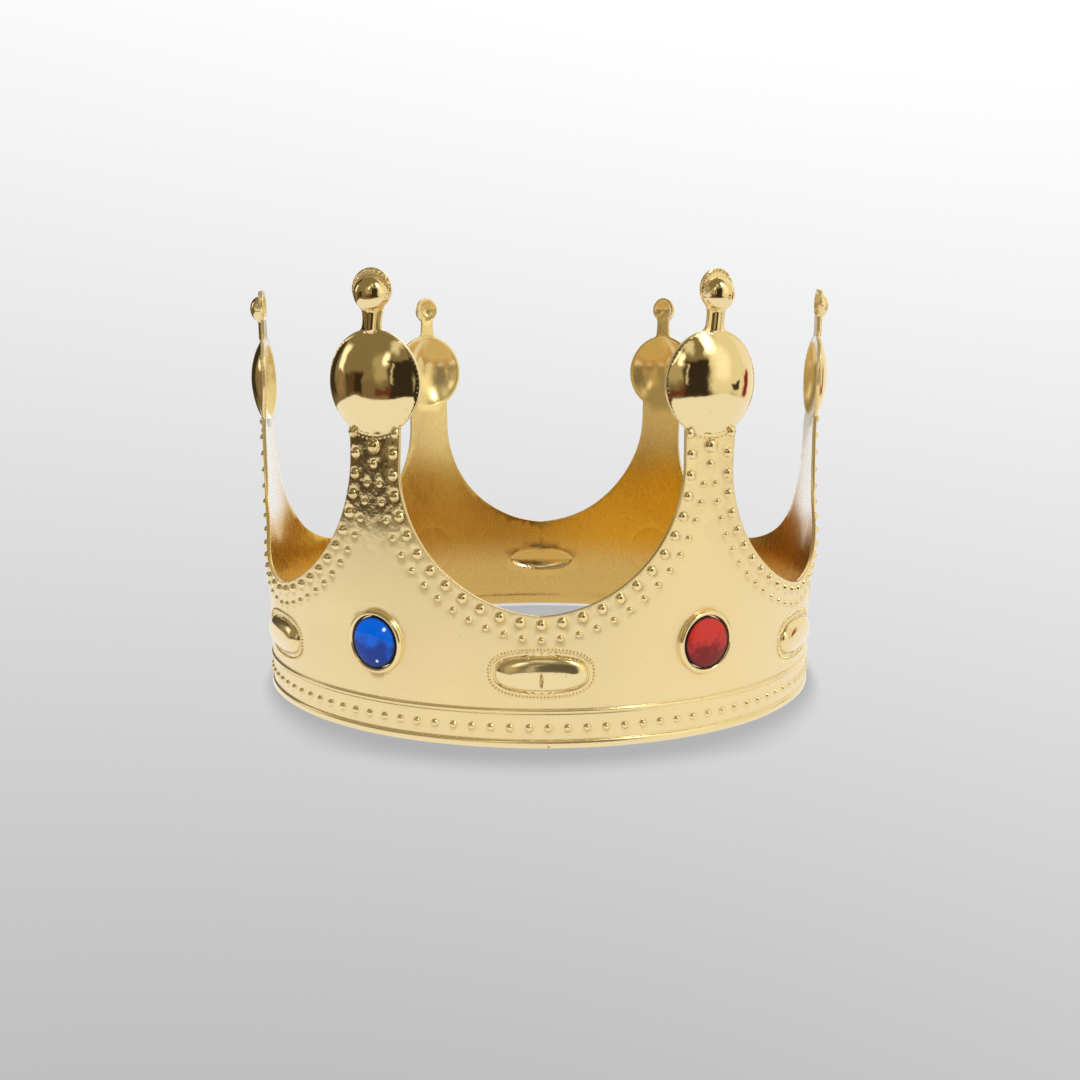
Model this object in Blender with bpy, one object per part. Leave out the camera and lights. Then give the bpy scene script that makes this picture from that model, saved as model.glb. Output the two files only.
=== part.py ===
"""Party crown: one moulded plastic ring with six tines, and six glued-on round gems.

The origin is the centre of the rim's underside, +Z is up and the front valley faces -Y.
Angles are turned about +Z from the front valley towards +X. Units are metres.

A place on the wall is given by three numbers: t, the distance along the wall sideways
from a centre line, z, the height, and h, how far it stands out from the wall's face.
"""

import math

import bmesh
import bpy
from mathutils import Matrix, Vector

MM = 0.001

# Ring
TINES = 6
BASE_RADIUS = 90.0 * MM  # over the rim roll, the widest part of the base
WALL = 1.2 * MM
FLARE = 0.015  # radius gained for each unit of height
RIM_PROUD = 0.6 * MM
RIM_HEIGHT = 2.3 * MM
RIB_Z = 10.3 * MM
RIB_HALF = 0.55 * MM
RIB_PROUD = 0.5 * MM

# Valleys between the tines: half an ellipse over a shallow V
VALLEY_Z = 36.3 * MM
VALLEY_HALF = 39.15 * MM  # measured round the base circle
VALLEY_RISE = 37.0 * MM
VALLEY_SLOPE = 0.06

# Tines
DOME_Z = 97.0 * MM
DOME_HALF_WIDTH = 14.0 * MM
DOME_HALF_HEIGHT = 14.1 * MM
DOME_RIM = 0.8 * MM
DOME_BULGE = 4.8 * MM
BOWL_RIM = 2.1 * MM
STEM_HALF = 2.7 * MM
STEM_RIB_HALF = 1.5 * MM
STEM_RIB_PROUD = 1.3 * MM
TIP_Z = 121.3 * MM
TIP_RADIUS = 5.1 * MM
BALL_Z = 120.0 * MM
BALL_RADIUS = 4.5 * MM
BALL_BULGE = 4.0 * MM
CUP_RADIUS = 3.2 * MM
CUP_DEPTH = 2.6 * MM

# Lozenges under the valleys
LOZENGE_Z = 20.7 * MM
LOZENGE_HALF_LENGTH = 12.6 * MM
LOZENGE_HALF_HEIGHT = 4.85 * MM
LOZENGE_BULGE = 2.2 * MM
HOLLOW_HALF_LENGTH = 12.5 * MM
HOLLOW_HALF_HEIGHT = 4.35 * MM
HOLLOW_DEPTH = 1.9 * MM

# Gems and their seats, all measured out from the wall's face at the seat's centre
GEM_Z = 26.6 * MM
GEM_RADIUS = 7.1 * MM
GAP = 0.3 * MM
BEZEL_RADIUS = 9.0 * MM
BEZEL_TOP = 1.35 * MM
SEAT_FLOOR = -0.35 * MM
GLUE_THICKNESS = 0.3 * MM
GEM_GIRDLE = 1.0 * MM
GEM_HEIGHT = 2.35 * MM

# Mesh density
COLUMNS = 8
VALLEY_ROWS = 8
DOME_ROWS = 8
TIP_ROWS = 6
ROUND_SEGMENTS = 24
OVAL_SEGMENTS = 20

HALF_SECTOR = math.pi / TINES
GEM_NAMES = ("front_right", "side_right", "back_right", "back_left", "side_left", "front_left")


def clear_scene():
    for obj in list(bpy.data.objects):
        bpy.data.objects.remove(obj)


def wall_radius(z):
    """Outer radius of the plain wall at a height."""
    return BASE_RADIUS - RIM_PROUD + FLARE * z


def cylinder_point(angle, radius, z):
    return Vector((radius * math.sin(angle), -radius * math.cos(angle), z))


def wall_point(centre, t, z, h):
    """A point h out from the wall's face, t along the wall from the angle `centre`."""
    radius = wall_radius(z)
    return cylinder_point(centre + t / radius, radius + h, z)


def half_round(offset, half, height):
    """Height of a half-round ridge at a distance from its middle."""
    if abs(offset) >= half:
        return 0.0
    return height * math.sqrt(1.0 - (offset / half) ** 2)


def cap_height(reach, bulge):
    """Height of a spherical cap, 1 wide and `bulge` high, at `reach` (0 centre, 1 edge)."""
    if reach >= 1.0:
        return 0.0
    ball = (1.0 + bulge * bulge) / (2.0 * bulge)
    return math.sqrt(ball * ball - reach * reach) - (ball - bulge)


def dome_reach(t, z, rim):
    """Distance from the dome's centre, as a share of its radius less a flat rim."""
    return math.hypot(t / (DOME_HALF_WIDTH - rim), (z - DOME_Z) / (DOME_HALF_HEIGHT - rim))


def outer_relief(t, z):
    """How far the outside of the skin stands out from the plain wall."""
    h = half_round(z - RIM_HEIGHT / 2, RIM_HEIGHT / 2, RIM_PROUD)
    h += half_round(z - RIB_Z, RIB_HALF, RIB_PROUD)
    scale = DOME_HALF_HEIGHT
    dome = scale * cap_height(dome_reach(t, z, DOME_RIM), DOME_BULGE / scale)
    ball = half_round(math.hypot(t, z - BALL_Z), BALL_RADIUS, BALL_BULGE)
    stem = 0.0
    if DOME_Z + DOME_HALF_HEIGHT / 2 < z < BALL_Z:
        stem = half_round(t, STEM_RIB_HALF, STEM_RIB_PROUD)
    return h + max(dome, ball, stem)


def inner_relief(t, z):
    """How far the inside of the skin is pushed out behind the domes and balls."""
    scale = DOME_HALF_HEIGHT
    bowl = scale * cap_height(dome_reach(t, z, BOWL_RIM), DOME_BULGE / scale)
    cup = half_round(math.hypot(t, z - BALL_Z), CUP_RADIUS, CUP_DEPTH)
    return max(bowl, cup)


def band_rows():
    """Heights of the closed rows, from the underside to just under the valleys."""
    rim = [RIM_HEIGHT * share for share in (0.0, 0.12, 0.5, 0.88, 1.0)]
    rib = [RIB_Z + RIB_HALF * share for share in (-1.0, -0.7, 0.0, 0.7, 1.0)]
    return [(z, HALF_SECTOR) for z in rim + rib]


def valley_rows():
    """Rows up the valley's edge, as (height, half the tine's angle)."""
    rows = []
    for i in range(VALLEY_ROWS + 1):
        turn = math.pi / 2 * i / VALLEY_ROWS
        across = VALLEY_HALF * math.sin(turn)
        z = VALLEY_Z + VALLEY_SLOPE * across + VALLEY_RISE * (1.0 - math.cos(turn))
        rows.append((z, HALF_SECTOR - across / BASE_RADIUS))
    return rows


def disc_rows(centre_z, half_width, half_height, bottom_half, top_half, count):
    """Rows over a round plate that starts at one width and ends at another."""
    first = -math.acos(bottom_half / half_width)
    last = math.acos(top_half / half_width)
    rows = []
    for i in range(count + 1):
        turn = first + (last - first) * i / count
        z = centre_z + half_height * math.sin(turn)
        rows.append((z, half_width * math.cos(turn) / wall_radius(z)))
    return rows


def tine_rows():
    """Rows from the valley's lowest point to the top of the tip."""
    rows = valley_rows()
    neck_angle = rows[-1][1]
    neck_half = neck_angle * wall_radius(DOME_Z - DOME_HALF_HEIGHT)
    rows.append((DOME_Z - DOME_HALF_HEIGHT + DOME_RIM, neck_angle))
    rows += disc_rows(DOME_Z, DOME_HALF_WIDTH, DOME_HALF_HEIGHT, neck_half, STEM_HALF, DOME_ROWS)
    rows += disc_rows(TIP_Z, TIP_RADIUS, TIP_RADIUS, STEM_HALF, TIP_RADIUS * 0.3, TIP_ROWS)
    return rows


def make_skin():
    """The moulding's skin as one closed grid: outside, inside and the edges between them."""
    rows = band_rows() + tine_rows()
    closed_rows = len(band_rows()) + 1
    bm = bmesh.new()
    made = {}

    def corner(side, row, tine, column):
        if row < closed_rows:
            key = (side, row, (tine * COLUMNS + column) % (TINES * COLUMNS))
        else:
            key = (side, row, tine, column)
        if key not in made:
            z, half_angle = rows[row]
            turn = half_angle * (2.0 * column / COLUMNS - 1.0)
            t = turn * wall_radius(z)
            h = outer_relief(t, z) if side == "out" else inner_relief(t, z) - WALL
            centre = HALF_SECTOR * (2 * tine + 1)
            made[key] = bm.verts.new(wall_point(centre, t, z, h))
        return made[key]

    def quad(*corners):
        bm.faces.new([corner(*c) for c in corners])

    last = len(rows) - 1
    outer_steps = [(r, r + 1) for r in range(last)]
    inner_steps = [(0, closed_rows - 1)] + outer_steps[closed_rows - 1:]
    for tine in range(TINES):
        for c in range(COLUMNS):
            for side, steps in (("out", outer_steps), ("in", inner_steps)):
                for low, high in steps:
                    quad((side, low, tine, c), (side, low, tine, c + 1),
                         (side, high, tine, c + 1), (side, high, tine, c))
            for r in (0, last):
                quad(("out", r, tine, c), ("out", r, tine, c + 1),
                     ("in", r, tine, c + 1), ("in", r, tine, c))
        for r in range(closed_rows - 1, last):
            for c in (0, COLUMNS):
                quad(("out", r, tine, c), ("out", r + 1, tine, c),
                     ("in", r + 1, tine, c), ("in", r, tine, c))
    bmesh.ops.recalc_face_normals(bm, faces=bm.faces)
    return bm


def stadium_point(turn, inset):
    """A point on a straight-sided oval with round ends, drawn in by a share of its height."""
    straight = LOZENGE_HALF_LENGTH - LOZENGE_HALF_HEIGHT
    radius = LOZENGE_HALF_HEIGHT * (1.0 - inset)
    along = radius * math.cos(turn) + math.copysign(straight, math.cos(turn))
    return along, radius * math.sin(turn)


def lens_point(turn, inset):
    """A point on an oval with pointed ends, drawn in by a share of its size."""
    along = HOLLOW_HALF_LENGTH * math.cos(turn)
    up = HOLLOW_HALF_HEIGHT * math.sin(turn) * abs(math.sin(turn)) ** 0.4
    return along * (1.0 - inset), up * (1.0 - inset)


def add_oval(bm, centre, outline, levels):
    """A closed oval body bent round the wall, through levels of (inset, height)."""
    rings = []
    for inset, h in levels:
        ring = []
        for i in range(OVAL_SEGMENTS):
            along, up = outline(2.0 * math.pi * (i + 0.5) / OVAL_SEGMENTS, inset)
            ring.append(bm.verts.new(wall_point(centre, along, LOZENGE_Z + up, h)))
        rings.append(ring)
    for low, high in zip(rings, rings[1:]):
        for i in range(OVAL_SEGMENTS):
            j = (i + 1) % OVAL_SEGMENTS
            bm.faces.new((low[i], low[j], high[j], high[i]))
    bm.faces.new(rings[0])
    bm.faces.new(rings[-1])


def make_ovals(outline, levels):
    """One oval body under each valley."""
    bm = bmesh.new()
    for i in range(TINES):
        add_oval(bm, 2 * HALF_SECTOR * i, outline, levels)
    bmesh.ops.recalc_face_normals(bm, faces=bm.faces)
    return bm


def lozenge_levels():
    """Rooted in the wall and rounded on top."""
    return [
        (0.0, -WALL / 2),
        (0.0, LOZENGE_BULGE * 0.25),
        (0.2, LOZENGE_BULGE * 0.7),
        (0.6, LOZENGE_BULGE),
    ]


def hollow_levels():
    """From well inside the ring to just under the lozenge's top."""
    return [
        (0.0, -2.5 * WALL),
        (0.0, -WALL),
        (0.15, HOLLOW_DEPTH * 0.6 - WALL),
        (0.5, HOLLOW_DEPTH - WALL),
    ]


def seat_frame(index):
    """Where a gem sits: its local +Z points straight out of the wall."""
    angle = HALF_SECTOR * (2 * index + 1)
    place = wall_point(angle, 0.0, GEM_Z, 0.0)
    out = Vector((math.sin(angle), -math.cos(angle), -FLARE)).normalized()
    side = Vector((math.cos(angle), math.sin(angle), 0.0))
    up = out.cross(side)
    turn = Matrix((side, up, out)).transposed().to_4x4()
    return Matrix.Translation(place) @ turn


def add_turned(bm, profile, frame):
    """A solid turned about the frame's Z from (radius, height) points, axis to axis."""
    verts = [bm.verts.new((r, 0.0, h)) for r, h in profile]
    edges = [bm.edges.new(pair) for pair in zip(verts, verts[1:])]
    bmesh.ops.spin(bm, geom=verts + edges, axis=(0.0, 0.0, 1.0), cent=(0.0, 0.0, 0.0),
                   steps=ROUND_SEGMENTS, angle=2.0 * math.pi, use_merge=True)
    new = [v for v in bm.verts if not v.tag]
    bmesh.ops.transform(bm, matrix=frame, verts=new)
    for v in new:
        v.tag = True


def make_turned_set(profile, indices, frame_of):
    bm = bmesh.new()
    for index in indices:
        add_turned(bm, profile, frame_of(index))
    bmesh.ops.remove_doubles(bm, verts=bm.verts, dist=0.01 * MM)
    bmesh.ops.recalc_face_normals(bm, faces=bm.faces)
    return bm


def bezel_profile():
    return [
        (0.0, -0.75 * WALL),
        (BEZEL_RADIUS, -0.75 * WALL),
        (BEZEL_RADIUS, 0.35 * BEZEL_TOP),
        (BEZEL_RADIUS - 0.3 * MM, 0.8 * BEZEL_TOP),
        (BEZEL_RADIUS - 0.9 * MM, BEZEL_TOP),
        (GEM_RADIUS + GAP + 0.15 * MM, 0.85 * BEZEL_TOP),
        (0.0, 0.85 * BEZEL_TOP),
    ]


def pocket_profile():
    radius = GEM_RADIUS + GAP
    return [(0.0, SEAT_FLOOR), (radius, SEAT_FLOOR), (radius, 6 * MM), (0.0, 6 * MM)]


def glue_profile():
    low = SEAT_FLOOR + GAP
    high = low + GLUE_THICKNESS
    radius = GEM_RADIUS - 0.8 * MM
    return [(0.0, low), (radius, low), (radius, high), (0.0, high)]


def gem_profile():
    low = SEAT_FLOOR + 2 * GAP + GLUE_THICKNESS
    return [
        (0.0, low),
        (GEM_RADIUS - 0.2 * MM, low),
        (GEM_RADIUS, low + 0.2 * MM),
        (GEM_RADIUS, low + GEM_GIRDLE),
        (GEM_RADIUS * 0.86, low + 0.78 * GEM_HEIGHT),
        (GEM_RADIUS * 0.5, low + 0.96 * GEM_HEIGHT),
        (0.0, low + GEM_HEIGHT),
    ]


def make_material(name, colour, roughness, metallic):
    material = bpy.data.materials.new(name)
    material.use_nodes = True
    shader = material.node_tree.nodes["Principled BSDF"]
    shader.inputs["Base Color"].default_value = (*colour, 1.0)
    shader.inputs["Roughness"].default_value = roughness
    shader.inputs["Metallic"].default_value = metallic
    return material


def make_object(name, bm, material, smooth_under=math.radians(35)):
    mesh = bpy.data.meshes.new(name)
    bm.to_mesh(mesh)
    bm.free()
    mesh.shade_smooth()
    mesh.set_sharp_from_angle(angle=smooth_under)
    mesh.materials.append(material)
    obj = bpy.data.objects.new(name, mesh)
    bpy.context.scene.collection.objects.link(obj)
    return obj


def apply_tool(target, name, bm, operation, material):
    """Joins or cuts the target with a tool that itself stays out of the build."""
    tool = make_object(name, bm, material)
    tool.hide_render = True
    tool.display_type = "WIRE"
    modifier = target.modifiers.new(name, "BOOLEAN")
    modifier.operation = operation
    modifier.solver = "EXACT"
    modifier.object = tool


def build_shell(gold):
    seats = range(TINES)
    shell = make_object("crown_shell", make_skin(), gold)
    apply_tool(shell, "tool_lozenges", make_ovals(stadium_point, lozenge_levels()), "UNION", gold)
    apply_tool(shell, "tool_hollows", make_ovals(lens_point, hollow_levels()), "DIFFERENCE", gold)
    apply_tool(shell, "tool_bezels", make_turned_set(bezel_profile(), seats, seat_frame),
               "UNION", gold)
    apply_tool(shell, "tool_pockets", make_turned_set(pocket_profile(), seats, seat_frame),
               "DIFFERENCE", gold)


def build_gems(blue, red, glue):
    """Blue and red gems take turns round the crown, with a disc of glue under each."""
    gem_mesh = make_turned_set(gem_profile(), [0], lambda index: Matrix.Identity(4))
    glue_mesh = make_turned_set(glue_profile(), [0], lambda index: Matrix.Identity(4))
    for index, place in enumerate(GEM_NAMES):
        colour = red if index % 2 == 0 else blue
        gem = make_object("gem_" + place, gem_mesh.copy(), colour)
        gem.matrix_world = seat_frame(index)
        disc = make_object("adhesive_" + place, glue_mesh.copy(), glue)
        disc.matrix_world = seat_frame(index)
    gem_mesh.free()
    glue_mesh.free()


def main():
    clear_scene()
    build_shell(make_material("metallised_plastic", (0.80, 0.62, 0.28), 0.28, 1.0))
    build_gems(
        make_material("blue_acrylic", (0.01, 0.08, 0.62), 0.08, 0.0),
        make_material("red_acrylic", (0.55, 0.01, 0.02), 0.08, 0.0),
        make_material("clear_adhesive", (0.80, 0.78, 0.70), 0.45, 0.0),
    )


main()
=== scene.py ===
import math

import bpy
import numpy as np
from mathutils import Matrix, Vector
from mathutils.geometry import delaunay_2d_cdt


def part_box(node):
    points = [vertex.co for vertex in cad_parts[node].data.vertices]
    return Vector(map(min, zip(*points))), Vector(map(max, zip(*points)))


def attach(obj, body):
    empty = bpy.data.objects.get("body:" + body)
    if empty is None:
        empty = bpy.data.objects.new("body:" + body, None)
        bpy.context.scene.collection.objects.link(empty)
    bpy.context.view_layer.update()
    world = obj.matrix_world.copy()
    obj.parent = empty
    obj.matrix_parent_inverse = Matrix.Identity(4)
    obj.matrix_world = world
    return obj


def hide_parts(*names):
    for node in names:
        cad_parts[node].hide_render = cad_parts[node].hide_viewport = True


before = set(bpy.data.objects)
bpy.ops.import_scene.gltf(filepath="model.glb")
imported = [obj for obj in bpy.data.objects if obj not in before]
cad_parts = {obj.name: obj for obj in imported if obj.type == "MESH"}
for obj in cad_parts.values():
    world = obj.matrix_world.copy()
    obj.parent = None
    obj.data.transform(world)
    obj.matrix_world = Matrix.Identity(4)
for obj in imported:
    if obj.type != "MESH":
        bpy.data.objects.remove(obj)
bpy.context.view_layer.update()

# The looks of a moulded party crown: a fine gold skin with real beads, domes and lozenges,
# and cut acrylic gems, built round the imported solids.
#
# A place on the wall is (p, z, h). p runs sideways round the base circle from the middle of
# a tine, z is the height, and h is how far the place stands out from the plain wall. They
# are in design millimetres, and MM turns them into the frame's metres.

SHELL_LOW, SHELL_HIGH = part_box("crown_shell")
DESIGN_HEIGHT = 126.165  # the shell's height in design millimetres
MM = (SHELL_HIGH[2] - SHELL_LOW[2]) / DESIGN_HEIGHT

# Ring
TINES = 6
BASE_RADIUS = 90.0
WALL = 1.2
FLARE = 0.015
RIM_PROUD = 0.6
RIM_HEIGHT = 2.3
RIB_Z = 10.3
RIB_HALF = 0.55
RIB_PROUD = 0.5
GROOVE_DEPTH = 0.08
GROOVE_HALF = 0.16
BAND_BEAD_Z = 5.7
BAND_BEAD_SHIFT = -0.7
INNER_STEP_Z = 3.8
INNER_STEP = 0.14
SECTOR_EDGE = BASE_RADIUS * math.pi / TINES

# Valleys between the tines
VALLEY_Z = 36.3
VALLEY_HALF = 39.15
VALLEY_RISE = 37.0
VALLEY_SLOPE = 0.06
NECK_HALF = SECTOR_EDGE - VALLEY_HALF

# Tines
DOME_Z = 97.0
DOME_HALF_WIDTH = 14.0
DOME_HALF_HEIGHT = 14.1
DOME_RIM = 0.5
DOME_BULGE = 4.8
BOWL_RIM = 1.2
STEM_HALF = 2.6
STEM_FOOT = 3.4
STEM_HEAD = 3.9
STEM_RIB_HALF = 1.45
STEM_RIB_PROUD = 1.3
STEM_RIB_END = 110.9
TIP_Z = 121.3
TIP_RADIUS = 5.15
BALL_Z = 120.0
BALL_RADIUS = 4.45
BALL_BULGE = 4.0
CUP_Z = 120.7
CUP_RADIUS = 4.4
CUP_DEPTH = 2.3

# Lozenges under the valleys, and the hollows behind them
LOZENGE_Z = 20.7
LOZENGE_HALF_HEIGHT = 4.8
LOZENGE_STRAIGHT = 12.4 - LOZENGE_HALF_HEIGHT
LOZENGE_SQUARENESS = 2.6
LOZENGE_BULGE = 2.2
BORDER_OFFSET = 1.75
BORDER_PITCH = 0.98
BORDER_MARGIN = 0.65
TICK_HALF_LENGTH = 0.55
TICK_HALF_WIDTH = 0.36
TICK_HEIGHT = 0.5
HOLLOW_HALF_LENGTH = 12.8
HOLLOW_HALF_HEIGHT = 4.3
HOLLOW_DEPTH = 1.7
HOLLOW_LIP = 0.9

# Gems and their seats
GEM_Z = 26.6
GEM_RADIUS = 7.1
GEM_GIRDLE = 1.0
GEM_HEIGHT = 2.35
GEM_BACK = 0.4  # just clear of the glue disc under it
SEAT_RADIUS = 7.4
SEAT_FLOOR = -0.35
BEZEL_RADIUS = 9.0
BEZEL_TOP = 1.35

# How the thin moulding has relaxed, one value for each tine from the front right one round
# to the front left one. TWIST and TIP_TWIST turn the tine and then its tip, in degrees. LEAN
# and TIP_LEAN move them sideways, DROP lowers them and SPLAY moves them outwards.
# BULGE_SHARE is the share that is left of the bulges' depth, and TIP_SIZE scales the tip.
TWIST = (-4.5, -4.0, -5.0, 5.0, 5.7, 6.0)
TIP_TWIST = (6.5, 0.0, 0.0, 0.0, 0.0, 11.0)
LEAN = (0.0, 0.0, -3.0, 0.0, 0.0, 0.7)
TIP_LEAN = (0.6, 0.0, 0.0, 0.0, 0.0, 0.8)
DROP = (0.0, 0.4, 0.0, 0.0, 1.3, 0.0)
SPLAY = (0.0, 0.0, 0.0, 0.0, 0.7, 0.0)
BULGE_SHARE = (1.0, 0.66, 1.0, 1.0, 0.84, 1.0)
TIP_SIZE = (1.04, 0.9, 0.86, 0.86, 0.93, 1.06)
SIDE_TINES = (1, 4)
FRONT_LEFT = 5

# Heights over which those changes grow to their full size
TWIST_Z = (68.0, 98.0)
LEAN_Z = (46.0, 80.0)
SPLAY_Z = (50.0, 90.0)
DROP_Z = (40.0, 90.0)
TIP_Z_RANGE = (108.0, 117.0)
TIP_SIZE_Z = (112.0, 117.5)
BULGES_FROM_Z = 84.0

# How the ring has warped. BACK_LIFT stands the back of the rim off the floor, BACK_SAG lowers
# the back wall above it and SIDE_LIFT raises the front half of the side valleys. The base's
# right side has moved to the left by SQUEEZE_NEAR, and both sides have moved inwards by
# SQUEEZE_FAR from the middle backwards. SQUEEZE_ABOVE moves both side necks to the left, and
# PUSH moves the front left of the ring to the left.
BACK_LIFT = 1.4
BACK_SAG = 0.7
SIDE_LIFT = 0.7
SQUEEZE_NEAR = 0.7
SQUEEZE_FAR = 1.05
SQUEEZE_ABOVE = 0.5
PUSH = 0.45
SIDE_X = (58.0, 80.0)

# Mesh density
GRID = 1.8
INNER_GRID = 3.0
CLEAR_OF_FORMS = 0.5
CLEAR_OF_BEADS = 0.12
EDGE_INSET = 0.2
EDGE_POLISH = 0.35


def wall_radius(z):
    return BASE_RADIUS - RIM_PROUD + FLARE * z


def sideways(distance, z):
    """Turns a true distance along the wall at height z into p."""
    return distance * BASE_RADIUS / wall_radius(z)


# ------------------------------------------------------------------ relief


def smooth(value, low, high):
    share = np.clip((value - low) / (high - low), 0.0, 1.0)
    return share * share * (3.0 - 2.0 * share)


def half_round(offset, half, height):
    share = np.clip(np.abs(offset) / half, 0.0, 1.0)
    return height * np.sqrt(1.0 - share * share)


def groove(offset):
    share = np.clip(np.abs(offset) / GROOVE_HALF, 0.0, 1.0)
    return GROOVE_DEPTH * (1.0 - share * share) ** 2


def dome_height(t, z, rim):
    """A spherical cap stretched to the dome's oval, inside a flat rim."""
    reach = np.hypot(t / (DOME_HALF_WIDTH - rim), (z - DOME_Z) / (DOME_HALF_HEIGHT - rim))
    reach = np.clip(reach, 0.0, 1.0)
    bulge = DOME_BULGE / DOME_HALF_HEIGHT
    sphere = (1.0 + bulge * bulge) / (2.0 * bulge)
    return DOME_HALF_HEIGHT * (np.sqrt(sphere * sphere - reach * reach) - (sphere - bulge))


def outer_relief(t, z):
    """How far the skin's face stands out from the plain wall, without the beads."""
    rim = half_round(z - RIM_HEIGHT / 2, RIM_HEIGHT / 2, RIM_PROUD)
    rib = half_round(z - RIB_Z, RIB_HALF, RIB_PROUD)
    grooves = groove(z - RIM_HEIGHT - GROOVE_HALF)
    grooves = grooves + groove(np.abs(z - RIB_Z) - RIB_HALF - GROOVE_HALF)
    dome = dome_height(t, z, DOME_RIM)
    ball = half_round(np.hypot(t, z - BALL_Z), BALL_RADIUS, BALL_BULGE)
    below_end = np.minimum(z - STEM_RIB_END, 0.0)
    stem = half_round(np.hypot(t, below_end), STEM_RIB_HALF, STEM_RIB_PROUD)
    stem = np.where((z > STEM_RIB_END - 2 * STEM_RIB_HALF) & (z < BALL_Z), stem, 0.0)
    return rim + rib - grooves + np.maximum(np.maximum(dome, ball), stem)


def inner_relief(t, z):
    """How far the inside face is pushed out, measured from the plain wall's face."""
    share = np.clip(np.hypot(t, z - CUP_Z) / CUP_RADIUS, 0.0, 1.0)
    cup = CUP_DEPTH * (1.0 - share * share)
    step = INNER_STEP * (1.0 - smooth(z, INNER_STEP_Z - 0.25, INNER_STEP_Z + 0.25))
    return np.maximum(dome_height(t, z, BOWL_RIM), cup) - WALL - step


def outer_polish(t, z):
    """1 where the mould was polished, 0 where it was matt."""
    oval = np.hypot(t / DOME_HALF_WIDTH, (z - DOME_Z) / DOME_HALF_HEIGHT) < 1.005
    top = z > DOME_Z
    roll = (z < RIM_HEIGHT + 0.35) | (np.abs(z - RIB_Z) < RIB_HALF + 0.35)
    return np.where(oval | top, 1.0, np.where(roll, 0.6, 0.0))


def inner_polish(t, z):
    oval = np.hypot(t / DOME_HALF_WIDTH, (z - DOME_Z) / DOME_HALF_HEIGHT) < 0.93
    return np.where(oval, 0.45, np.where(z > DOME_Z, 0.3, 0.0))


# ------------------------------------------------------------------ outline of one tine


def valley_edge():
    """Right-hand edge from the valley's lowest point up to the neck."""
    points = []
    for i in range(51):
        turn = math.pi / 2 * i / 50
        across = VALLEY_HALF * math.sin(turn)
        z = VALLEY_Z + VALLEY_SLOPE * across + VALLEY_RISE * (1.0 - math.cos(turn))
        points.append((SECTOR_EDGE - across, z))
    return points


def disc_edge(centre_z, half_width, half_height, first, last, count):
    points = []
    for i in range(count + 1):
        turn = first + (last - first) * i / count
        z = centre_z + half_height * math.sin(turn)
        points.append((sideways(half_width * math.cos(turn), z), z))
    return points


def straight_edge(low, high, count):
    """Points between two heights on the neck's side."""
    return [(NECK_HALF, low + (high - low) * i / count) for i in range(1, count)]


def stem_edge(low, high, count):
    """The stem's side, with a small fillet at both ends."""
    points = []
    for i in range(1, count):
        z = low + (high - low) * i / count
        half = STEM_HALF + (STEM_FOOT - STEM_HALF) * math.exp(-(z - low) / 0.6)
        half += (STEM_HEAD - STEM_HALF) * math.exp(-(high - z) / 0.9)
        points.append((sideways(half, z), z))
    return points


def tine_edge():
    """Right-hand outline of a tine, from the valley's lowest point to the tip's top."""
    neck = NECK_HALF * wall_radius(DOME_Z - DOME_HALF_HEIGHT) / BASE_RADIUS
    dome_first = -math.acos(neck / DOME_HALF_WIDTH)
    dome_last = math.acos(STEM_FOOT / DOME_HALF_WIDTH)
    dome = disc_edge(DOME_Z, DOME_HALF_WIDTH, DOME_HALF_HEIGHT, dome_first, dome_last, 46)
    tip = disc_edge(TIP_Z, TIP_RADIUS, TIP_RADIUS, -math.acos(STEM_HEAD / TIP_RADIUS),
                    math.pi / 2, 24)
    valley = valley_edge()
    neck_side = straight_edge(valley[-1][1], dome[0][1], 10)
    return valley + neck_side + dome + stem_edge(dome[-1][1], tip[0][1], 11) + tip


def inset(points, distance):
    """Moves an open outline into the material; its two ends move along z only."""
    path = np.array(points)
    step = np.gradient(path, axis=0)
    step /= np.linalg.norm(step, axis=1)[:, None]
    moved = path + np.column_stack((-step[:, 1], step[:, 0])) * distance
    moved[0] = path[0] - (0.0, distance)
    moved[-1] = path[-1] - (0.0, distance)
    return moved


def along(path, pitch):
    """Evenly spaced points along a path, as close to the pitch as a whole number allows."""
    path = np.array(path)
    travelled = np.concatenate(([0.0], np.cumsum(np.linalg.norm(np.diff(path, axis=0), axis=1))))
    stops = np.linspace(0.0, travelled[-1], max(2, round(travelled[-1] / pitch) + 1))
    return np.column_stack([np.interp(stops, travelled, path[:, i]) for i in (0, 1)])


# ------------------------------------------------------------------ points of one face


def ring(p, z, half_width, half_height, count):
    """Points of an oval on the wall, starting at its top."""
    points = []
    for i in range(count):
        turn = math.pi / 2 + 2 * math.pi * i / count
        up = z + half_height * math.sin(turn)
        points.append((p + sideways(half_width * math.cos(turn), up), up))
    return points


class Skin:
    """The points of one face of a sector: beads over forms over a plain grid."""

    def __init__(self, relief, polish):
        self.relief = relief
        self.polish = polish
        self.beads = []
        self.forms = []
        self.bead_zones = []
        self.form_zones = []

    def bead_oval(self, p, z, half_width, half_height, count, extra, polish):
        self.beads += [(*spot, extra, polish) for spot in ring(p, z, half_width, half_height, count)]

    def bead_ring(self, p, z, radius, count, extra, polish):
        self.bead_oval(p, z, radius, radius, count, extra, polish)

    def form_ring(self, p, z, half_width, half_height, count):
        self.forms += ring(p, z, half_width, half_height, count)

    def form_rows(self, levels, spacing):
        """Whole rows of points across the sector."""
        count = round(2 * SECTOR_EDGE / spacing)
        for z in levels:
            for i in range(count + 1):
                self.forms.append((-SECTOR_EDGE + 2 * SECTOR_EDGE * i / count, z))

    def round_zone(self, zones, p, z, radius):
        zones.append(lambda at_p, at_z: np.hypot(at_p - p, at_z - z) - radius)


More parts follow.
